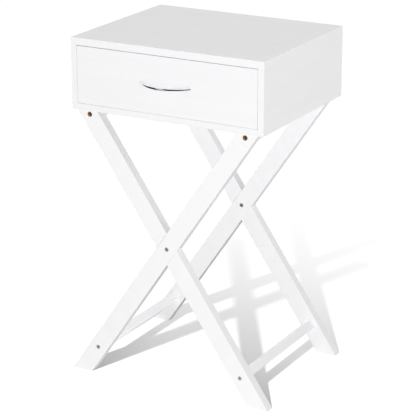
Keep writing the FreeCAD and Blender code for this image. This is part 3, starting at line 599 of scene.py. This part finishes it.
PULL_LOW, PULL_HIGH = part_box("drawer_pull")
PULL_TIP_WIDTH = 0.012
PULL_BOW_THICKNESS = 0.0045
PULL_END_SHRINK = 0.0005        # of its half height, from the middle to a tip
PULL_STATIONS = 96
PULL_RING = 28


class Arc:
    """Plan of one side of the bow: an arc through both tips on the drawer's face and a bulge to -Y."""

    def __init__(self, half_span, bulge):
        self.radius = (half_span ** 2 + bulge ** 2) / (2 * bulge)
        self.sweep = math.asin(half_span / self.radius)
        self.centre_y = PULL_HIGH.y + self.radius - bulge

    def point(self, along):
        """The point a share of the way, -1 at the left tip and 1 at the right one."""
        angle = along * self.sweep
        x = PULL_CENTRE.x + self.radius * math.sin(angle)
        return Vector((x, self.centre_y - self.radius * math.cos(angle), PULL_CENTRE.z))


def make_pull():
    """The bow with a full round section, the same size as its CAD node; its tips sit on the drawer."""
    half_span = (PULL_HIGH.x - PULL_LOW.x) / 2
    half_height = (PULL_HIGH.z - PULL_LOW.z) / 2
    bulge = PULL_HIGH.y - PULL_LOW.y
    outer = Arc(half_span, bulge)
    inner = Arc(half_span - PULL_TIP_WIDTH, bulge - PULL_BOW_THICKNESS)

    def build(shape):
        rings = []
        for station in range(PULL_STATIONS + 1):
            along = 2 * station / PULL_STATIONS - 1
            front = outer.point(along)
            back = inner.point(along)
            centre = (front + back) / 2
            reach = (front - back) / 2
            rise = Vector((0.0, 0.0, half_height - PULL_END_SHRINK * along ** 2))
            ring = []
            for spoke in range(PULL_RING):
                turn = 2 * math.pi * spoke / PULL_RING
                ring.append(shape.verts.new(centre + reach * math.cos(turn) + rise * math.sin(turn)))
            rings.append(ring)
        for first, second in zip(rings, rings[1:]):
            for spoke in range(PULL_RING):
                following = (spoke + 1) % PULL_RING
                face = shape.faces.new((first[spoke], first[following], second[following], second[spoke]))
                face.smooth = True
        shape.faces.new(reversed(rings[0]))
        shape.faces.new(rings[-1])
        bmesh.ops.recalc_face_normals(shape, faces=shape.faces)

    pull = mesh_object("bow_pull", build)
    pull.data.materials.append(chrome("polished_chrome"))
    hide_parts("drawer_pull")
    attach(pull, "drawer")


# ---- Floor and reflection cards -----------------------------------------------------------------

FLOOR_SIZE = 60.0
FLOOR_WHITE = 0.9
FLOOR_SPECKLE = 0.004
FLOOR_SWEEP_GLOW = 1.03
FLOOR_BOUNCE = 0.55
FADE_LENGTH = 1.4
FADE_CURVE = 2.3


def floor_material():
    """A pale studio floor that takes shadows near the table and turns into a glowing sweep behind it.

    Bounced light sees a plain grey floor instead.
    """
    tree = Tree("studio_floor")
    speckle = tree.noise(tree.place((40.0, 40.0, 40.0)), detail=3.0)
    tone = tree.mix(tree.spread(speckle), grey(FLOOR_WHITE - FLOOR_SPECKLE), grey(FLOOR_WHITE))
    tree.finish(tone, 0.9, Specular_IOR_Level=0.0)

    _, y, _ = tree.axes()
    front = CAD_LOW.y
    nearness = tree.node("ShaderNodeMapRange", clamp=True)
    tree.link(y, nearness.inputs["Value"])
    nearness.inputs["From Min"].default_value = front
    nearness.inputs["From Max"].default_value = front + FADE_LENGTH
    nearness.inputs["To Min"].default_value = 1.0
    nearness.inputs["To Max"].default_value = 0.0
    sweep = tree.node("ShaderNodeEmission")
    sweep.inputs["Strength"].default_value = FLOOR_SWEEP_GLOW
    surface = tree.node("ShaderNodeMixShader")
    tree.link(tree.math("POWER", nearness.outputs["Result"], FADE_CURVE), surface.inputs[0])
    tree.link(sweep.outputs["Emission"], surface.inputs[1])
    tree.link(tree.shader.outputs["BSDF"], surface.inputs[2])

    plain = tree.node("ShaderNodeBsdfDiffuse")
    plain.inputs["Color"].default_value = grey(FLOOR_BOUNCE)
    choice = tree.node("ShaderNodeMixShader")
    seen = tree.node("ShaderNodeLightPath").outputs["Is Camera Ray"]
    tree.link(seen, choice.inputs[0])
    tree.link(plain.outputs["BSDF"], choice.inputs[1])
    tree.link(surface.outputs["Shader"], choice.inputs[2])
    tree.link(choice.outputs["Shader"], tree.output.inputs["Surface"])
    return tree.material


def make_floor():
    def build(shape):
        half = FLOOR_SIZE / 2
        corners = ((-half, -half), (half, -half), (half, half), (-half, half))
        shape.faces.new([shape.verts.new((x, y, CAD_LOW.z)) for x, y in corners])

    floor = mesh_object("floor", build)
    floor.data.materials.append(floor_material())
    return floor


CARD_LIFT = 0.01
CARD_NEAR = 0.25
CARD_FAR = 4.0
CARD_SPANS = ((-175.0, -41.0), (-17.0, 110.0))      # azimuths in degrees, open where the bow shines
CARD_STEPS = 12


def card_material():
    tree = Tree("reflection_card")
    cloth = tree.noise(tree.place((200.0, 200.0, 200.0)), detail=2.0)
    tone = tree.mix(cloth, rgb(0.01, 0.01, 0.011), rgb(0.02, 0.02, 0.022))
    return tree.finish(tone, 0.95, Specular_IOR_Level=0.0)


def make_cards():
    """Dark cloth round the front, seen only in reflections, to give the polished metal an edge."""
    material = card_material()
    for number, (start, end) in enumerate(CARD_SPANS):
        def build(shape):
            rows = []
            for step in range(CARD_STEPS + 1):
                azimuth = math.radians(start + (end - start) * step / CARD_STEPS)
                outward = direction(azimuth, 0.0)
                ground = Vector((PULL_CENTRE.x, CAD_LOW.y, CAD_LOW.z + CARD_LIFT))
                reaches = (CARD_NEAR, CARD_FAR)
                rows.append([shape.verts.new(ground + outward * reach) for reach in reaches])
            for first, second in zip(rows, rows[1:]):
                shape.faces.new((first[0], first[1], second[1], second[0]))

        card = mesh_object(f"reflection_card_{number}", build)
        card.data.materials.append(material)
        card.visible_camera = False
        card.visible_diffuse = False
        card.visible_shadow = False


# ---- The scene ----------------------------------------------------------------------------------

make_camera()
make_world()
make_pull()
make_lights(make_floor())
make_cards()
dress_nodes()
bpy.context.scene.view_settings.view_transform = "Standard"
